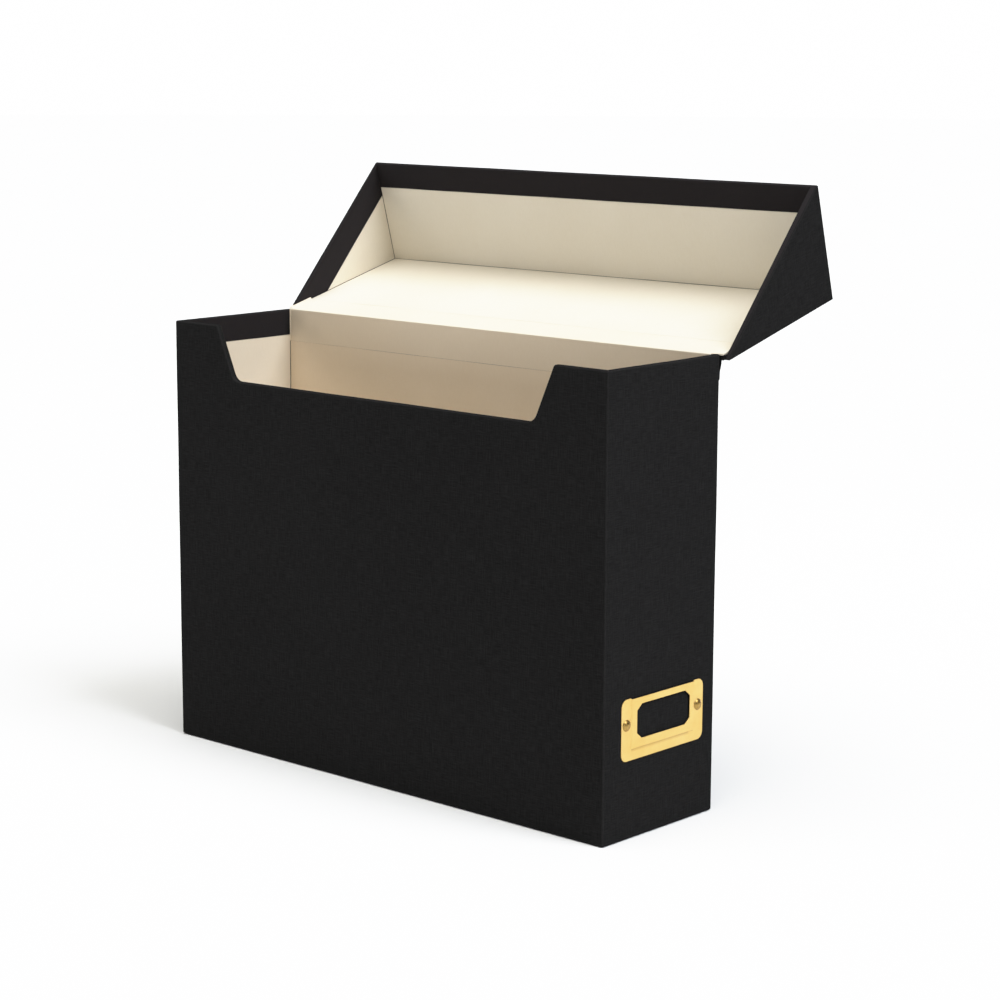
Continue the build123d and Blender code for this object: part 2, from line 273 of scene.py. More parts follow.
def studio_floor():
    """Matte white paper floor with a barely uneven tone."""
    tree = Tree("studio_floor")
    place = tree.add("TexCoord", output=3)
    grain = tree.add("TexNoise", {"Vector": place, "Scale": 3.0, "Detail": 3.0})
    colour = tree.mix(tree.ramp(grain, 0.3, 0.7), (0.94, 0.94, 0.94, 1), (0.95, 0.95, 0.95, 1))
    return tree.shade({"Base Color": colour, "Roughness": 0.95, "Specular IOR Level": 0.1})


cloth_look = book_cloth()
paper_look = cream_paper()
board_look = greyboard()
brass_look = brass_sheet()
pin_look = pin_metal()


# ---- mesh tools ----
def eased(value, low, high):
    """0 below low, 1 above high, and a smooth rise between them."""
    share = min(1.0, max(0.0, (value - low) / (high - low)))
    return share * share * (3 - 2 * share)


def welded(faces):
    """Faces with neighbours' corners added where they lie on an edge, so that every vertex is shared."""
    corners = [Vector(point) for points, _ in faces for point in points]
    result = []
    for points, out in faces:
        ring = []
        for start, end in zip(points, points[1:] + points[:1]):
            start, end = Vector(start), Vector(end)
            run = end - start
            found = {0.0: start}
            for corner in corners:
                share = (corner - start).dot(run) / run.length_squared
                if 1e-4 < share < 1 - 1e-4 and (start + run * share - corner).length < 0.004:
                    found[round(share, 5)] = corner
            ring += [found[share] for share in sorted(found)]
        result.append((ring, Vector(out)))
    return result


def surface(faces):
    """Open surface made of flat faces, each given as its corners and the way that it looks."""
    mesh = bmesh.new()
    for ring, out in welded(faces):
        face = mesh.faces.new([mesh.verts.new(point) for point in ring])
        face.normal_update()
        if face.normal.dot(out) < 0:
            face.normal_flip()
    bmesh.ops.remove_doubles(mesh, verts=mesh.verts, dist=0.005)
    mesh.normal_update()
    return mesh


def fold(mesh, radius):
    """Rounds the outward folds."""
    least = math.radians(35)
    sharp = [
        edge for edge in mesh.edges
        if edge.is_manifold and edge.is_convex and edge.calc_face_angle() > least
    ]
    bmesh.ops.bevel(
        mesh, geom=sharp, offset=radius, offset_type="OFFSET", segments=4, profile=0.5,
        affect="EDGES", clamp_overlap=False, miter_outer="SHARP", miter_inner="SHARP", loop_slide=False,
    )
    mesh.normal_update()


def mark_folds(mesh):
    """Marks the crowns of the outward folds, for the material's wear and painted highlight."""
    least = math.radians(14)
    layer = mesh.verts.layers.float.new("fold")
    for edge in mesh.edges:
        if edge.is_manifold and edge.calc_face_angle_signed() > least:
            for vert in edge.verts:
                vert[layer] = 1.0


def mark(mesh, name, value):
    """Same value on every vertex."""
    layer = mesh.verts.layers.float.new(name)
    for vert in mesh.verts:
        vert[layer] = value


def mark_turned(mesh, is_turned):
    """Marks the turned-in cloth, which the material paints a little paler than the outside, as painted
    light.
    """
    layer = mesh.verts.layers.float.new("turned")
    for vert in mesh.verts:
        vert[layer] = 0.8 if is_turned(vert.co) else 0.0


def cut(mesh, axis, places):
    """Cuts every face along planes square to an axis."""
    normal = Vector((0, 0, 0))
    normal[axis] = 1
    for place in places:
        geometry = mesh.verts[:] + mesh.edges[:] + mesh.faces[:]
        bmesh.ops.bisect_plane(mesh, geom=geometry, dist=0.002, plane_co=normal * place, plane_no=normal)


def spread(low, high, step):
    """Evenly spaced values strictly between two ends, no further apart than step."""
    count = max(1, math.ceil((high - low) / step))
    return [low + (high - low) * i / count for i in range(1, count)]


def gridded(mesh, extra=()):
    """Cuts the faces into cells and along the extra planes, given as axis and place. Close points join."""
    for axis in range(3):
        values = [vert.co[axis] for vert in mesh.verts]
        low, high = min(values), max(values)
        cut(mesh, axis, spread(low, high, CELL))
        cut(mesh, axis, [place for its_axis, place in extra if its_axis == axis and low < place < high])
    bmesh.ops.remove_doubles(mesh, verts=mesh.verts, dist=0.03)


def ripple(place, length, seed):
    """Smooth noise from -1 to 1 with the given wavelength."""
    return noise.noise(place / length + Vector((seed, seed * 1.7, seed * 0.3)))


def uneven(mesh, amount, length, seed):
    """Moves the surface in and out by up to amount, as glued cloth and paper are never quite flat."""
    moves = [(vert, vert.normal * amount * ripple(vert.co, length, seed)) for vert in mesh.verts]
    for vert, move in moves:
        vert.co += move


def hand_cut(mesh, amount, length, seed):
    """Makes the cut edges a little wavy, within their own surface."""
    moves = {}
    for edge in mesh.edges:
        if not edge.is_boundary:
            continue
        face = edge.link_faces[0]
        along = (edge.verts[1].co - edge.verts[0].co).normalized()
        out = along.cross(face.normal)
        if out.dot(face.calc_center_median() - edge.verts[0].co) > 0:
            out.negate()
        for vert in edge.verts:
            moves.setdefault(vert, Vector())
            moves[vert] += out * edge.calc_length()
    for vert, out in moves.items():
        if out.length > 1e-6:
            vert.co += out.normalized() * amount * ripple(vert.co, length, seed)


def unwrap(mesh):
    """Surface coordinates in metres, laid flat along the two axes that each face mostly follows."""
    layer = mesh.loops.layers.uv.new("surface")
    for face in mesh.faces:
        size = [abs(value) for value in face.normal]
        across, up = ((1, 2), (0, 2), (0, 1))[size.index(max(size))]
        for loop in face.loops:
            loop[layer].uv = (loop.vert.co[across] * MM, loop.vert.co[up] * MM)


def prism(outline, low, high, place):
    """Closed prism: an outline at two depths, each point put in space by place."""
    mesh = bmesh.new()
    near, far = [[mesh.verts.new(place(u, v, depth)) for u, v in outline] for depth in (low, high)]
    mesh.faces.new(near)
    mesh.faces.new(far[::-1])
    for i in range(len(outline)):
        mesh.faces.new([near[i - 1], far[i - 1], far[i], near[i]])
    bmesh.ops.recalc_face_normals(mesh, faces=mesh.faces)
    return mesh


def made_object(name, mesh, matrix=None):
    """Object from a mesh in millimetres, moved by matrix first."""
    if matrix is not None:
        bmesh.ops.transform(mesh, matrix=matrix, verts=mesh.verts)
    bmesh.ops.transform(mesh, matrix=Matrix.Scale(MM, 4), verts=mesh.verts)
    data = bpy.data.meshes.new(name)
    mesh.to_mesh(data)
    mesh.free()
    piece = bpy.data.objects.new(name, data)
    bpy.context.scene.collection.objects.link(piece)
    return piece


def baked(piece):
    """Turns the piece's modifiers into plain mesh."""
    bpy.context.view_layer.update()
    evaluated = piece.evaluated_get(bpy.context.evaluated_depsgraph_get())
    data = bpy.data.meshes.new_from_object(evaluated)
    piece.modifiers.clear()
    piece.data = data


def thicken(piece, thickness):
    """Gives the surface its thickness inwards, and closes it."""
    solid = piece.modifiers.new("thickness", "SOLIDIFY")
    solid.thickness = thickness * MM
    solid.offset = -1
    solid.use_even_offset = True
    baked(piece)


def smooth(piece, sharp=50):
    """Smooth shading that leaves flat faces flat."""
    piece.data.shade_smooth()
    piece.data.set_sharp_from_angle(angle=math.radians(sharp))
    weighted = piece.modifiers.new("flat faces", "WEIGHTED_NORMAL")
    weighted.keep_sharp = True
    weighted.weight = 80
    baked(piece)


def dressed(piece, look, slot, *nodes):
    """Material, and the CAD nodes that the piece stands for, which are hidden. The slot argument is not
    used.
    """
    piece.data.materials.clear()
    piece.data.materials.append(look)
    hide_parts(*nodes)


# ---- body cover ----
def arc(centre, radius, start, end, steps):
    """Points round a centre in X and Z, angles in degrees."""
    result = []
    for i in range(steps + 1):
        angle = math.radians(start + (end - start) * i / steps)
        result.append((centre[0] + radius * math.cos(angle), centre[1] + radius * math.sin(angle)))
    return result


def scoop_line(inset):
    """The scoop's edge in X and Z, left top corner to right, drawn back into the wall by inset."""
    lean = (SCOOP_TOP - SCOOP_BOTTOM) / SCOOP_DEPTH
    shift = inset * (math.hypot(1, lean) - lean)
    high = top - inset
    low = high - SCOOP_DEPTH
    lip, floor_half = SCOOP_TOP + shift, SCOOP_BOTTOM + shift
    tilt = math.degrees(math.atan(lean))              # the slanting edge's lean from upright
    half_turn = math.radians(90 - tilt) / 2
    radius = SCOOP_FLOOR_RADIUS + inset
    reach = radius * math.tan(half_turn)
    right = arc((floor_half - reach, low + radius), radius, -90, -tilt, 7)
    lip_radius = SCOOP_LIP_RADIUS - inset
    if lip_radius > 0:
        lip_reach = lip_radius * math.tan(half_turn)
        right += arc((lip + lip_reach, high - lip_radius), lip_radius, 180 - tilt, 90, 5)
    else:
        right += [(lip, high)]
    return [(-x, z) for x, z in reversed(right)] + right


def body_cover():
    """One wrap of cloth: outer faces, hem under the base, folded top edges and turned-in strips."""
    w, d, strip = half_width, half_depth, turned_in
    line = scoop_line(0)
    low_line = scoop_line(TURN_IN)
    lip_left, lip_right = line[0][0], line[-1][0]
    board_top = top - CLOTH
    in_w = w - strip
    in_front, in_back = -d + strip, d - board_in
    front = [(-w, -d, foot), (w, -d, foot), (w, -d, top)]
    front += [(x, -d, z) for x, z in reversed(line)] + [(-w, -d, top)]
    back = [(-w, d, foot), (w, d, foot), (w, d, top), (in_w, d, top), (in_w, d, board_top)]
    back += [(-in_w, d, board_top), (-in_w, d, top), (-w, d, top)]
    faces = [(front, (0, -1, 0)), (back, (0, 1, 0))]
    for side in (-1, 1):
        x = side * w
        lip = lip_left if side < 0 else lip_right
        faces.append(([(x, -d, foot), (x, d, foot), (x, d, top), (x, -d, top)], (side, 0, 0)))
        rim = [(x, -d, top), (x, d, top), (side * in_w, d, top), (side * in_w, in_back, top)]
        rim += [(side * in_w, in_front, top), (lip, in_front, top), (lip, -d, top)]
        faces.append((rim, (0, 0, 1)))
        inner = [(side * in_w, in_front, top), (side * in_w, in_back, top)]
        inner += [(side * in_w, in_back, top - TURN_IN), (side * in_w, in_front, top - TURN_IN)]
        faces.append((inner, (-side, 0, 0)))
        hem_x = side * (w - HEM)
        under = [(x, -d, foot), (x, d, foot), (hem_x, d - HEM, foot), (hem_x, -d + HEM, foot)]
        faces.append((under, (0, 0, -1)))
        y = side * d
        hem_y = side * (d - HEM)
        under = [(-w, y, foot), (w, y, foot), (w - HEM, hem_y, foot), (-w + HEM, hem_y, foot)]
        faces.append((under, (0, 0, -1)))
    for (x0, z0), (x1, z1) in zip(line, line[1:]):
        out = (-(z1 - z0), 0, x1 - x0)
        faces.append(([(x0, -d, z0), (x1, -d, z1), (x1, in_front, z1), (x0, in_front, z0)], out))
    turned = [(-in_w, in_front, top)] + [(x, in_front, z) for x, z in line] + [(in_w, in_front, top)]
    turned += [(in_w, in_front, top - TURN_IN)] + [(x, in_front, z) for x, z in reversed(low_line)]
    turned += [(-in_w, in_front, top - TURN_IN)]
    faces.append((turned, (0, 1, 0)))
    mesh = surface(faces)
    fold(mesh, FOLD_RADIUS)
    inside = FOLD_RADIUS + BESIDE_FOLD
    beside = [(0, side * (w - inside)) for side in (-1, 1)] + [(1, side * (d - inside)) for side in (-1, 1)]
    beside += [(2, foot + inside), (2, top - inside), (2, top - SCOOP_DEPTH - inside)]
    gridded(mesh, beside)
    return mesh


def rim_hump(mesh):
    """The right rim swells a little towards the hinge, where the hinge cloth is tucked in beside it."""
    swell, reach = 0.15, 6.0
    for vert in mesh.verts:
        below = top - vert.co.z
        if vert.co.x > half_width - turned_in - 1 and below < reach:
            vert.co.z += swell * eased(vert.co.y, 22, 40) * (1 - below / reach)


def inside_walls(place):
    """Whether a point of the cover is on the walls' inner faces."""
    return max(abs(place.x) - half_width, abs(place.y) - half_depth) < 0.1 - turned_in


mesh = body_cover()
mark_folds(mesh)
mark_turned(mesh, inside_walls)
hand_cut(mesh, 0.3, 26, 2.3)
uneven(mesh, 0.13, 55, 7.1)
rim_hump(mesh)
unwrap(mesh)
piece = made_object("body_cover_cloth", mesh)
thicken(piece, CLOTH)
smooth(piece)
dressed(piece, cloth_look, "black_book_cloth", "body_cover")
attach(piece, "body")


# ---- base cover ----
w, d = half_width - BASE_INSET, half_depth - BASE_INSET
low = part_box("base_cover")[0].z / MM
mesh = surface([([(-w, -d, low), (w, -d, low), (w, d, low), (-w, d, low)], (0, 0, -1))])
gridded(mesh)
hand_cut(mesh, 0.3, 22, 4.4)
mesh.verts.layers.float.new("fold")
unwrap(mesh)
piece = made_object("base_cover_cloth", mesh)
thicken(piece, CLOTH)
smooth(piece)
dressed(piece, cloth_look, "black_book_cloth", "base_cover")
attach(piece, "body")


# ---- body linings ----
def lining(name, points, out, seed, body, matrix=None, shade_warmth=0.0):
    """Sheet of paper glued to a board, hand cut and not quite flat."""
    mesh = surface([(points, out)])
    gridded(mesh)
    hand_cut(mesh, 0.12, 20, seed)
    uneven(mesh, 0.05, 40, seed + 0.5)
    # painted shade: how much of the warmer shaded-paper tone this sheet gets
    mark(mesh, "shade_warmth", shade_warmth)
    unwrap(mesh)
    piece = made_object(name + "_paper", mesh, matrix)
    thicken(piece, PAPER)
    smooth(piece)
    dressed(piece, paper_look, "cream_paper", name)
    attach(piece, body)


low_edge = floor_top + GAP
side_top = top - TURN_IN - GAP
seam = top - HINGE_ON_WALL - SEAM

x, y = half_width - lining_in - GAP, half_depth - lining_in
points = [(-x, y, low_edge), (x, y, low_edge), (x, y, seam), (-x, y, seam)]
# painted shade: the back lining, deepest in shade, gets the full warmer tone
lining("back_lining", points, (0, -1, 0), 1.1, "body", shade_warmth=1.0)
points = [(-x, -y, low_edge), (-x, -y, side_top)]
points += [(scoop_x, -y, z) for scoop_x, z in scoop_line(TURN_IN + GAP)]
points += [(x, -y, side_top), (x, -y, low_edge)]
lining("front_lining", points, (0, 1, 0), 2.2, "body")
y = half_depth - lining_in - GAP
for side, name in ((-1, "left_lining"), (1, "right_lining")):
    x = side * (half_width - lining_in)
    points = [(x, -y, low_edge), (x, y, low_edge), (x, y, side_top), (x, -y, side_top)]
    # painted shade: the side linings get a little of the warmer tone
    lining(name, points, (-side, 0, 0), 3.3 + side, "body", shade_warmth=0.3)
x, y = half_width - board_in, half_depth - board_in
points = [(-x, -y, floor_top), (x, -y, floor_top), (x, y, floor_top), (-x, y, floor_top)]
lining("base_lining", points, (0, 0, 1), 5.5, "body")


# ---- lid, worked out closed and then swung open ----
def on_lid(x, forward, down):
    """Point of the closed lid: how far across, forward of its back edge and below its top face."""
    return (x, lid_back - forward, lid_top - down)


def lid_cover():
    """Cloth over the top panel, flap and tapering sides, turned in along the flap and the sloping edges."""
    w, in_w, end_w = lid_half, lid_half - lid_turned, lid_half - lid_in
    front, in_front = lid_reach, lid_reach - lid_turned
    taper = (LID_DROP - LID_TIP) / front
    back_off = TURN_IN * math.hypot(1, slope)
    side_low = in_front * slope - back_off     # the turned-in strip's end on the flap's corner
    side_near = (lid_in + back_off) / slope
    heel = (lid_in - LID_TIP) / taper          # where the sloping edge passes the top board's inner face
    panel = [(-w, 0, 0), (w, 0, 0), (w, front, 0), (-w, front, 0)]
    flap = [(-w, front, 0), (w, front, 0), (w, front, LID_DROP), (-w, front, LID_DROP)]
    back = [(-w, 0, 0), (w, 0, 0), (w, 0, LID_TIP), (end_w, 0, LID_TIP), (end_w, 0, lid_in)]
    back += [(-end_w, 0, lid_in), (-end_w, 0, LID_TIP), (-w, 0, LID_TIP)]
    edge = [(-w, front, LID_DROP), (w, front, LID_DROP)]
    edge += [(in_w, in_front, LID_DROP), (-in_w, in_front, LID_DROP)]
    turned = [(-in_w, in_front, LID_DROP), (in_w, in_front, LID_DROP)]
    turned += [(in_w, in_front, LID_DROP - TURN_IN), (-in_w, in_front, LID_DROP - TURN_IN)]
    faces = [(panel, (0, 0, 1)), (flap, (0, -1, 0)), (back, (0, 1, 0))]
    faces += [(edge, (0, 0, -1)), (turned, (0, 1, 0))]
    for side in (-1, 1):
        x, in_x, end_x = side * w, side * in_w, side * end_w
        outer = [(x, 0, 0), (x, 0, LID_TIP), (x, front, LID_DROP), (x, front, 0)]
        edge = [(x, 0, LID_TIP), (x, front, LID_DROP), (in_x, in_front, LID_DROP)]
        edge += [(in_x, heel, lid_in), (end_x, heel, lid_in), (end_x, 0, LID_TIP)]
        turned = [(in_x, heel, lid_in), (in_x, in_front, LID_DROP)]
        turned += [(in_x, in_front, side_low), (in_x, side_near, lid_in)]
        faces += [(outer, (side, 0, 0)), (edge, (0, 0.5, -1)), (turned, (-side, 0, 0))]
    mesh = surface([([on_lid(*point) for point in points], out) for points, out in faces])
    fold(mesh, LID_FOLD_RADIUS)
    inside = LID_FOLD_RADIUS + BESIDE_FOLD
    beside = [(0, side * (w - inside)) for side in (-1, 1)]
    beside += [(1, lid_back - inside), (1, lid_back - front + inside)]
    beside += [(2, lid_top - inside), (2, lid_top - LID_DROP + inside)]
    gridded(mesh, beside)
    return mesh


def inside_lid(place):
    """Whether a point of the cover is off the lid's outer faces."""
    skin = 0.5
    off_front = place.y > lid_back - lid_reach + skin
    return abs(place.x) < lid_half - skin and place.z < lid_top - skin and off_front


mesh = lid_cover()
mark_folds(mesh)
mark_turned(mesh, inside_lid)
hand_cut(mesh, 0.3, 24, 5.9)
uneven(mesh, 0.12, 50, 3.7)
unwrap(mesh)
piece = made_object("lid_cover_cloth", mesh, swing)
thicken(piece, CLOTH)
smooth(piece)
dressed(piece, cloth_look, "black_book_cloth", "lid_cover")
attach(piece, "lid")


def lid_heel(name, side):
    """Cloth on the top board's end where it stands above the tapering side, at the lid's back edge."""
    end = lid_half - lid_in
    section = [(0, LID_TIP - 0.3), (0, lid_in), (lid_in / slope, lid_in)]
    outline = [on_lid(0, *point)[1:] for point in section]
    mesh = prism(outline, side * end, side * (end + CLOTH), lambda y, z, x: (x, y, z))
    mesh.verts.layers.float.new("fold")
    unwrap(mesh)
    piece = made_object(name, mesh, swing)
    dressed(piece, cloth_look, "black_book_cloth", "lid_cover")
    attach(piece, "lid")


lid_heel("lid_heel_cloth_left", -1)
lid_heel("lid_heel_cloth_right", 1)


def lid_lining_sheet(name, points, out, seed):
    """Lining whose points are given on the closed lid."""
    lining(name, [on_lid(*point) for point in points], out, seed, "lid", swing)


x, high = lid_half - lid_lining - GAP, lid_lining + GAP
near, far = HINGE_ON_LID + SEAM, lid_reach - lid_lining
points = [(-x, near, lid_lining), (x, near, lid_lining), (x, far, lid_lining), (-x, far, lid_lining)]
lid_lining_sheet("lid_top_lining", points, (0, 0, -1), 6.6)
low = LID_DROP - TURN_IN - GAP
points = [(-x, far, high), (x, far, high), (x, far, low), (-x, far, low)]
lid_lining_sheet("lid_front_lining", points, (0, 1, 0), 7.7)
drawn_back = (TURN_IN + GAP) * math.hypot(1, slope)
far -= GAP
for side, name in ((-1, "lid_left_lining"), (1, "lid_right_lining")):
    x = side * (lid_half - lid_lining)
    points = [(x, (high + drawn_back) / slope, high), (x, far, high), (x, far, far * slope - drawn_back)]
    lid_lining_sheet(name, points, (-side, 0, 0), 8.8 + side)


# ---- hinge strips, drawn with the lid open ----
def opened(forward, down):
    """Lid section point in Y and Z after the lid is swung open."""
    place = swing @ Vector(on_lid(0, forward, down))
    return (place.y, place.z)


def through(points, step):
    """Smooth line through points in Y and Z (Catmull-Rom), with a point about every step."""
    ends = [2 * Vector(points[0]) - Vector(points[1]), 2 * Vector(points[-1]) - Vector(points[-2])]
    points = [ends[0]] + [Vector(point) for point in points] + [ends[1]]
    line = []
    for i in range(1, len(points) - 2):
        a, b, c, d = points[i - 1:i + 3]
        count = max(1, math.ceil((c - b).length / step))
        for j in range(count):
            t = j / count
            line.append(0.5 * (2 * b + (c - a) * t + (2 * a - 5 * b + 4 * c - d) * t * t
                               + (3 * b - a - 3 * c + d) * t * t * t))
    line.append(points[-2])
    return line


def swept(section, half_at, columns, bend):
    """Surface from a section in Y and Z swept across X, with surface coordinates along and across it.

    half_at gives the half-width at each point of the section, and bend moves each finished point.
    """
    mesh = bmesh.new()
    layer = mesh.loops.layers.uv.new("surface")
    mesh.verts.layers.float.new("fold")
    run = [0.0]
    for a, b in zip(section, section[1:]):
        run.append(run[-1] + (b - a).length)
    rows = []
    for place, length in zip(section, run):
        half = half_at(length)
        row = []
        for column in columns:
            x = half * column
            row.append((mesh.verts.new(bend(Vector((x, place.x, place.y)), length)), (x * MM, length * MM)))
        rows.append(row)
    for low_row, high_row in zip(rows, rows[1:]):
        for i in range(len(columns) - 1):
            corners = [low_row[i], low_row[i + 1], high_row[i + 1], high_row[i]]
            face = mesh.faces.new([corner[0] for corner in corners])
            for loop, corner in zip(face.loops, corners):
                loop[layer].uv = corner[1]
    mesh.normal_update()
    return mesh


def columns_across(count, near_ends=()):
    """Values from -1 to 1, evenly spaced, with extra ones close to both ends."""
    values = {-1 + 2 * i / count for i in range(count + 1)}
    for value in near_ends:
        values |= {value, -value}
    return sorted(values)


def hinge_cloth():
    """Black strip: up the back wall, slack at the fold, round the lid's back edge and onto its face."""
    wall = half_depth + CLOTH
    up_wall = [(wall - 0.34, top - HINGE_ON_WALL), (wall - 0.3, top - 14), (wall - 0.1, top - 9.6)]
    loose = [(wall + 0.5, top - 7.6), (wall + 1.1, top - 5.6), (wall + 1.3, top - 3.4)]
    loose += [(wall + 1.3, top - 1.7), (wall + 1.5, top - 1.0)]
    round_edge = [(-CLOTH, 2.0), (-CLOTH, 1.2), (-CLOTH, 0.6), (-0.25, -0.1)]
    on_face = [(0.5, -CLOTH), (2, -CLOTH), (8, -CLOTH), (HINGE_ON_LID, -CLOTH)]
    section = through(up_wall + loose + [opened(*point) for point in round_edge + on_face], 0.5)

    def slack(place, length):
        """The loose part waves a little along the hinge."""
        if 8 < length < 20:
            share = math.sin(math.pi * (length - 8) / 12)
            place.y += 0.18 * share * ripple(Vector((place.x, 0, 0)), 24, 9.4)
        return place

    def half_at(length):
        """The strip's lower corners are trimmed a little."""
        return half_width - 0.05 - 0.95 * (1 - eased(length, 4.5, 6.5))

    return swept(section, half_at, columns_across(60, (0.985, 0.995)), slack)


def hinge_liner():
    """Cream strip: down the back wall's inner face, over its top edge, across the fold and onto the lid."""
    face = half_depth - lining_in
    down_wall = [(face, top - HINGE_ON_WALL), (face, top - 12), (face, top - 4), (face, top - 0.4)]
    over_top = [(face + 0.1, top + 0.2), (face + 0.45, top + 0.5), (face + 2.2, top + 0.45)]
    over_top += [(hinge_y - 0.2, top + 0.2), (hinge_y + 1.1, top - 0.25)]
    on_face = [opened(forward, lid_lining) for forward in (0.1, 1.2, 6, 12, HINGE_ON_LID)]
    section = through(down_wall + over_top + on_face, 0.6)
    body_half = half_width - turned_in - 0.1
    heel_half = lid_half - lid_in + 0.2
    lid_paper_half = lid_half - lid_turned - 0.1
    cross = HINGE_ON_WALL + 3.4          # length at which the strip has crossed the wall's top edge

    def half_at(length):
        """Between the end walls, then out over the heels, then between the lid's turned-in edges."""
        if length < cross + 5:
            return body_half + (heel_half - body_half) * eased(length, cross, cross + 2.2)
        return heel_half + (lid_paper_half - heel_half) * eased(length, cross + 5, cross + 7)

    lid_up = swing.to_3x3() @ Vector((0, 0, -1))

    def curl(place, length):
        """The strip's ends run up against the side walls and curl."""
        half = half_at(length)
        on_wall = length < cross
        radius = 0.6 if on_wall else 1.6
        over = max(0.0, abs(place.x) - (half - radius)) / radius
        lift = radius * (1 - math.sqrt(max(0.0, 1 - over * over)))
        way = Vector((0, -1, 0)) if on_wall else lid_up
        fade = min(1.0, abs(length - cross) / 2.5)
        return place + way * lift * 0.8 * fade

    mesh = swept(section, half_at, columns_across(60, (0.991, 0.994, 0.997, 0.999)), curl)
    # painted shade: the strip is warmer on the shaded back wall, and only a little on the lid
    layer = mesh.verts.layers.float.new("shade_warmth")
    for vert in mesh.verts:
        vert[layer] = 0.8 if vert.co.z < top else 0.2
    return mesh


def strip(name, mesh, thickness, look, slot, start, end):
    """Strip drawn across the hinge with the lid open: thickened, smooth shaded and given its look, in
    place. The slot, start and end arguments are not used.
    """
    mesh.normal_update()
    piece = made_object(name + "_strip", mesh)
    thicken(piece, thickness)
    smooth(piece)
    dressed(piece, look, slot, name)
    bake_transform(piece)


mesh = hinge_cloth()
bmesh.ops.reverse_faces(mesh, faces=mesh.faces)
strip("hinge_cloth", mesh, CLOTH, cloth_look, "black_book_cloth",
      (0, hinge_y + 0.4, hinge_z - 0.7), (0, hinge_y + 1.48, hinge_z - 0.31))
mesh = hinge_liner()
strip("hinge_liner", mesh, PAPER, paper_look, "cream_paper",
      (0, hinge_y, hinge_z), (0, hinge_y + 2.2, hinge_z - 0.4))


# ---- label frame ----
SHEET = 0.5
frame_low, frame_high = [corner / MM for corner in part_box("label_frame")]
frame_y = (frame_low.y + frame_high.y) / 2
FRAME_CORNER = 4.5
CHANNEL_WIDTH = 55.6
CHANNEL_FOOT = 6.2
CHANNEL_TOP_GAP = 0.5
WINDOW = (46.6, 19.6)
WINDOW_BOTTOM = 11.2
WINDOW_CORNER = (4.2, 3.4)
PIN_SPREAD = 63.0
PIN_LEVEL = 20.3
PIN_HOLE = 1.0
channel_rise = frame_high.x - half_width - SHEET
window_z = frame_low.z + WINDOW_BOTTOM + WINDOW[1] / 2
pin_places = [(frame_y + side * PIN_SPREAD / 2, frame_low.z + PIN_LEVEL) for side in (-1, 1)]


def frame_outline():
    """Outline in Y and Z with rounded corners, lower between the ears where the channel is open."""
    half_y = (frame_high.y - frame_low.y) / 2
    r = FRAME_CORNER
    points = []
    for sy, sz, start in ((1, 1, 0), (-1, 1, 90), (-1, -1, 180), (1, -1, 270)):
        z_edge = frame_high.z if sz > 0 else frame_low.z
        centre = (frame_y + sy * (half_y - r), z_edge - sz * r)
        points += arc(centre, r, start, start + 90, 8)
        if sz > 0:
            ear = CHANNEL_WIDTH / 2 + 0.15
            edge = [(frame_y + ear, z_edge), (frame_y + ear - 0.35, z_edge - CHANNEL_TOP_GAP)]
            points += edge if sy > 0 else []
        if sz > 0 and sy > 0:
            points += [(2 * frame_y - y, z) for y, z in reversed(edge)]
    return points


def window_outline():
    """Outline of the window in Y and Z, with its four corners cut off."""
    half_y, half_z = WINDOW[0] / 2, WINDOW[1] / 2
    cut_y, cut_z = WINDOW_CORNER
    corner = [(half_y, half_z - cut_z), (half_y - cut_y, half_z)]
    points = corner + [(-y, z) for y, z in reversed(corner)]
    points += [(-y, -z) for y, z in points]
    return [(frame_y + y, window_z + z) for y, z in points]


def frame_surface():
    """Sheet with a raised channel: soft bends at its two sides, a crisper one along its foot."""
    holes = [arc(place, PIN_HOLE, 0, 340, 17) for place in pin_places]
    rings = [frame_outline(), window_outline()] + holes
    points = [Vector((half_width + SHEET, y, z)) for ring in rings for y, z in ring]
    loops = [[Vector((y, z, 0)) for y, z in ring] for ring in rings]
    mesh = bmesh.new()
    verts = [mesh.verts.new(point) for point in points]
    for triangle in tessellate_polygon(loops):
        face = mesh.faces.new([verts[i] for i in triangle])
        face.normal_update()
        if face.normal.x < 0:
            face.normal_flip()
    edge = CHANNEL_WIDTH / 2
    bend_side, bend_foot = 0.9, 0.45
    for side in (-1, 1):
        cut(mesh, 1, [frame_y + side * (edge - bend_side * i / 6) for i in range(7)])
    cut(mesh, 1, spread(frame_low.y, frame_high.y, 4))
    channel_z = frame_low.z + CHANNEL_FOOT
    cut(mesh, 2, [channel_z + bend_foot * i / 5 for i in range(6)])
    cut(mesh, 2, spread(frame_low.z, frame_high.z, 4))
    bmesh.ops.remove_doubles(mesh, verts=mesh.verts, dist=0.05)
    mesh.verts.layers.float.new("fold")
    bend_darkening = mesh.verts.layers.float.new("bend_darkening")
    for vert in mesh.verts:
        inward = edge - abs(vert.co.y - frame_y)
        above = vert.co.z - channel_z
        vert.co.x += channel_rise * eased(inward, 0, bend_side) * eased(above, 0, bend_foot)
        # marks the bends for a painted dark reflection: fully along the foot, faintly at the sides
        if inward > bend_side / 2 and -0.01 < above < bend_foot / 2:
            vert[bend_darkening] = 1.0
        elif above > 0 and 0.1 < inward < bend_side / 2:
            vert[bend_darkening] = 0.12
    mesh.normal_update()
    return mesh


mesh = frame_surface()
unwrap(mesh)
piece = made_object("label_frame_brass", mesh)
thicken(piece, SHEET)
smooth(piece, 60)
dressed(piece, brass_look, "brass_sheet", "label_frame")
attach(piece, "body")


# ---- split pins ----
PIN_HEAD = 3.3
PIN_HEIGHT = 1.5
PIN_SHANK = 0.9
LEG_LENGTH = 8.0
LEG_WIDTH = 1.5
LEG_SHEET = 0.4


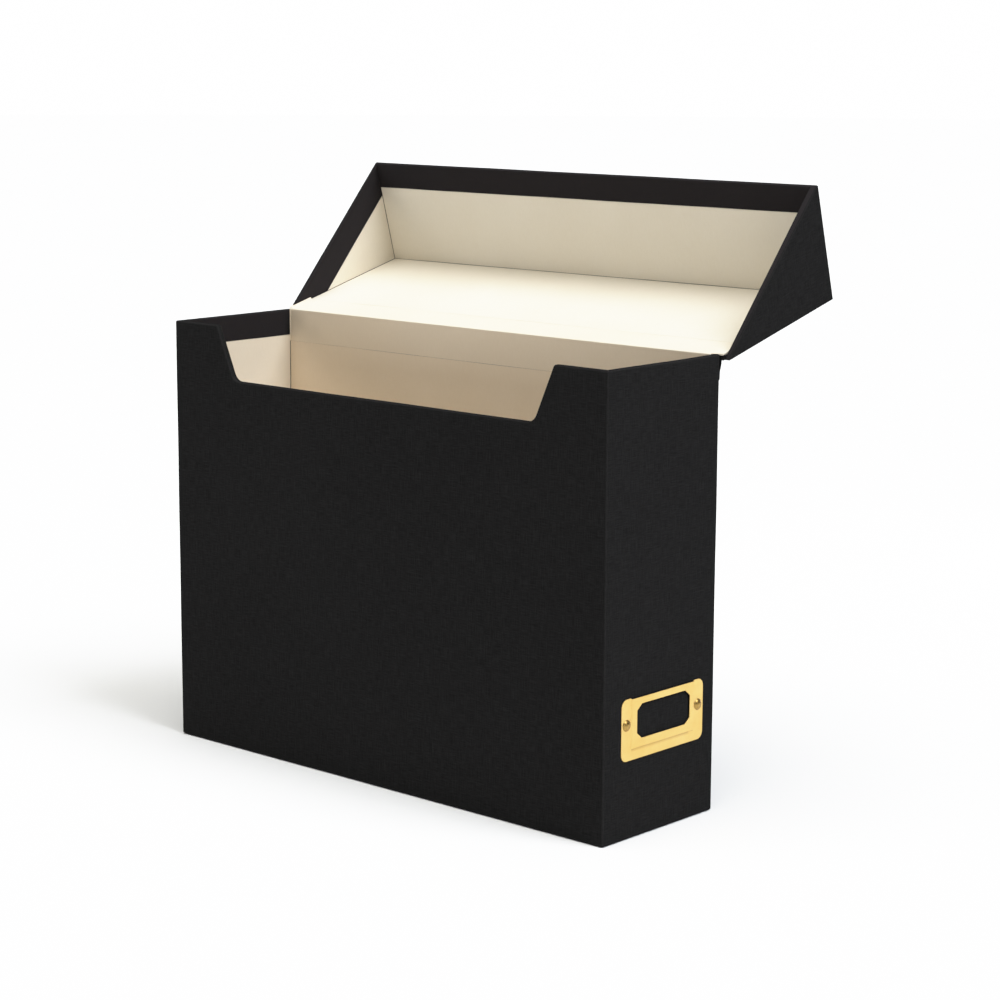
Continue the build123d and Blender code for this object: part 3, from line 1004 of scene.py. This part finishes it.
def turned_on_lathe(profile, steps):
    """Closed solid from a profile of radius and height, starting and ending on the axis."""
    mesh = bmesh.new()
    rings = []
    for radius, height in profile:
        if radius < 1e-6:
            rings.append([mesh.verts.new((0, 0, height))])
            continue
        ring = []
        for i in range(steps):
            angle = 2 * math.pi * i / steps
            ring.append(mesh.verts.new((radius * math.cos(angle), radius * math.sin(angle), height)))
        rings.append(ring)
    for low, high in zip(rings, rings[1:]):
        for i in range(steps):
            j = (i + 1) % steps
            corners = [low[i % len(low)], low[j % len(low)], high[j % len(high)], high[i % len(high)]]
            mesh.faces.new(list(dict.fromkeys(corners)))
    return mesh


def split_pin(name, y, z):
    """Domed head with a rolled rim, shank through the wall, and two flat legs behind the board."""
    legs_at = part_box("label_pins")[0].x / MM
    reach = half_width + SHEET - legs_at
    dome = (PIN_HEAD ** 2 + PIN_HEIGHT ** 2) / (2 * PIN_HEIGHT)
    spread_angle = math.asin(PIN_HEAD / dome)
    crown = []
    for i in range(1, 9):
        angle = spread_angle * (1 - i / 8)
        crown.append((dome * math.sin(angle), reach + PIN_HEIGHT - dome * (1 - math.cos(angle))))
    rim = [(PIN_SHANK, reach + 0.02), (PIN_HEAD - 0.25, reach + 0.02), (PIN_HEAD - 0.02, reach + 0.1)]
    foot = [(0, LEG_SHEET / 2), (PIN_SHANK * 0.9, LEG_SHEET / 2), (PIN_SHANK, 1.0)]
    mesh = turned_on_lathe(foot + rim + crown, 40)
    r = LEG_WIDTH / 2
    tip = arc((LEG_LENGTH - r, 0), r, -90, 90, 10)
    legs = prism(tip + [(-u, -v) for u, v in tip], 0, LEG_SHEET, lambda u, v, depth: (u, v, depth))
    data = bpy.data.meshes.new("legs")
    legs.to_mesh(data)
    legs.free()
    mesh.from_mesh(data)
    bmesh.ops.recalc_face_normals(mesh, faces=mesh.faces)
    mesh.verts.layers.float.new("fold")
    unwrap(mesh)
    matrix = Matrix.Translation((legs_at, y, z)) @ Matrix.Rotation(math.radians(90), 4, "Y")
    piece = made_object(name, mesh, matrix)
    smooth(piece, 50)
    dressed(piece, pin_look, "pin_metal", "label_pins")
    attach(piece, "body")


for name, (y, z) in zip(("label_pin_front", "label_pin_back"), pin_places):
    split_pin(name, y, z)


# ---- the boards keep their CAD shapes ----
for name, node in frame["nodes"].items():
    if name.endswith("_board"):
        node.data.materials.clear()
        node.data.materials.append(board_look)


# ---- floor, light and camera ----
def floor():
    """Large flat floor at the box's feet."""
    data = bpy.data.meshes.new("floor")
    mesh = bmesh.new()
    bmesh.ops.create_grid(mesh, x_segments=8, y_segments=8, size=12)
    mesh.to_mesh(data)
    mesh.free()
    piece = bpy.data.objects.new("floor", data)
    piece.data.materials.append(studio_floor())
    bpy.context.scene.collection.objects.link(piece)


def towards(azimuth, elevation):
    """Direction of a light or camera. Azimuth 0 is in front of the box and 90 to its right, in degrees."""
    a, e = math.radians(azimuth), math.radians(elevation)
    return Vector((math.sin(a) * math.cos(e), -math.cos(a) * math.cos(e), math.sin(e)))


def soft_light(name, azimuth, elevation, spread, strength, colour=(1, 1, 1)):
    """Large distant light, with spread its size in degrees."""
    data = bpy.data.lights.new(name, "SUN")
    data.angle = math.radians(spread)
    data.energy = strength
    data.color = colour
    light = bpy.data.objects.new(name, data)
    light.rotation_mode = "QUATERNION"
    light.rotation_quaternion = (-towards(azimuth, elevation)).to_track_quat("-Z", "Y")
    bpy.context.scene.collection.objects.link(light)


def near_light(name, place, size, power):
    """Soft box close to the object, aimed at its middle."""
    data = bpy.data.lights.new(name, "AREA")
    data.shape = "DISK"
    data.size = size
    data.energy = power
    light = bpy.data.objects.new(name, data)
    light.location = place
    light.rotation_mode = "QUATERNION"
    light.rotation_quaternion = (Vector((0, 0, 0.15)) - Vector(place)).to_track_quat("-Z", "Y")
    bpy.context.scene.collection.objects.link(light)


def backdrop(radius):
    """White dome behind everything, seen by the camera alone, so that it adds no light."""
    mesh = bmesh.new()
    bmesh.ops.create_icosphere(mesh, subdivisions=4, radius=radius)
    data = bpy.data.meshes.new("backdrop")
    mesh.to_mesh(data)
    mesh.free()
    tree = Tree("backdrop")
    glow = tree.add("Emission", {"Color": (1, 1, 1, 1), "Strength": 1.5})
    tree.links.new(glow, tree.out.inputs["Surface"])
    data.materials.append(tree.material)
    piece = bpy.data.objects.new("backdrop", data)
    for kind in ("diffuse", "glossy", "transmission", "shadow", "volume_scatter"):
        setattr(piece, "visible_" + kind, False)
    bpy.context.scene.collection.objects.link(piece)


def film():
    """Colours as they are, with a soft shoulder for the brightest paper."""
    settings = bpy.context.scene.view_settings
    settings.view_transform = "Standard"
    settings.use_curve_mapping = True
    mapping = settings.curve_mapping
    mapping.clip_max_x = 2.0
    curve = mapping.curves[3]
    knee = 0.7
    curve.points[-1].location = (2.0, 1.0)
    for value in (0.35, knee, 0.8, 0.9, 1.0, 1.2, 1.5):
        over = max(0.0, value - knee) / (1 - knee)
        curve.points.new(value, min(value, knee) + (1 - knee) * math.tanh(over))
    mapping.update()


def camera(azimuth, elevation, roll, distance, lens, target):
    """Camera looking at target, from that side and height, with no shift."""
    a, turn = math.radians(azimuth), math.radians(roll)
    back = towards(azimuth, elevation)
    right = Vector((math.cos(a), math.sin(a), 0))
    up = back.cross(right)
    tilted_right = right * math.cos(turn) + up * math.sin(turn)
    tilted_up = up * math.cos(turn) - right * math.sin(turn)
    data = bpy.data.cameras.new("camera")
    data.lens = lens
    data.sensor_width = 36
    data.clip_end = 100
    made = bpy.data.objects.new("camera", data)
    place = Vector(target) + back * distance
    rotation = Matrix((tilted_right, tilted_up, back)).transposed().to_4x4()
    made.matrix_world = Matrix.Translation(place) @ rotation
    bpy.context.scene.collection.objects.link(made)
    bpy.context.scene.camera = made


floor()
backdrop(12)
soft_light("key", 98, 50, 34, 2.31, (1.0, 1.035, 1.10))
soft_light("top", 20, 80, 60, 2.66, (1.0, 0.997, 0.96))
near_light("left", (-0.9, -0.9, 0.5), 0.6, 1.65)
near_light("front", (0.0, -1.6, 0.7), 1.2, 0.5)
near_light("back", (0.1, 0.95, 0.1), 0.3, 0.9)
camera(41.959, 10.293, 0.259, 1.49637, 93.416, (0.05267, 0, 0.17161))
film()
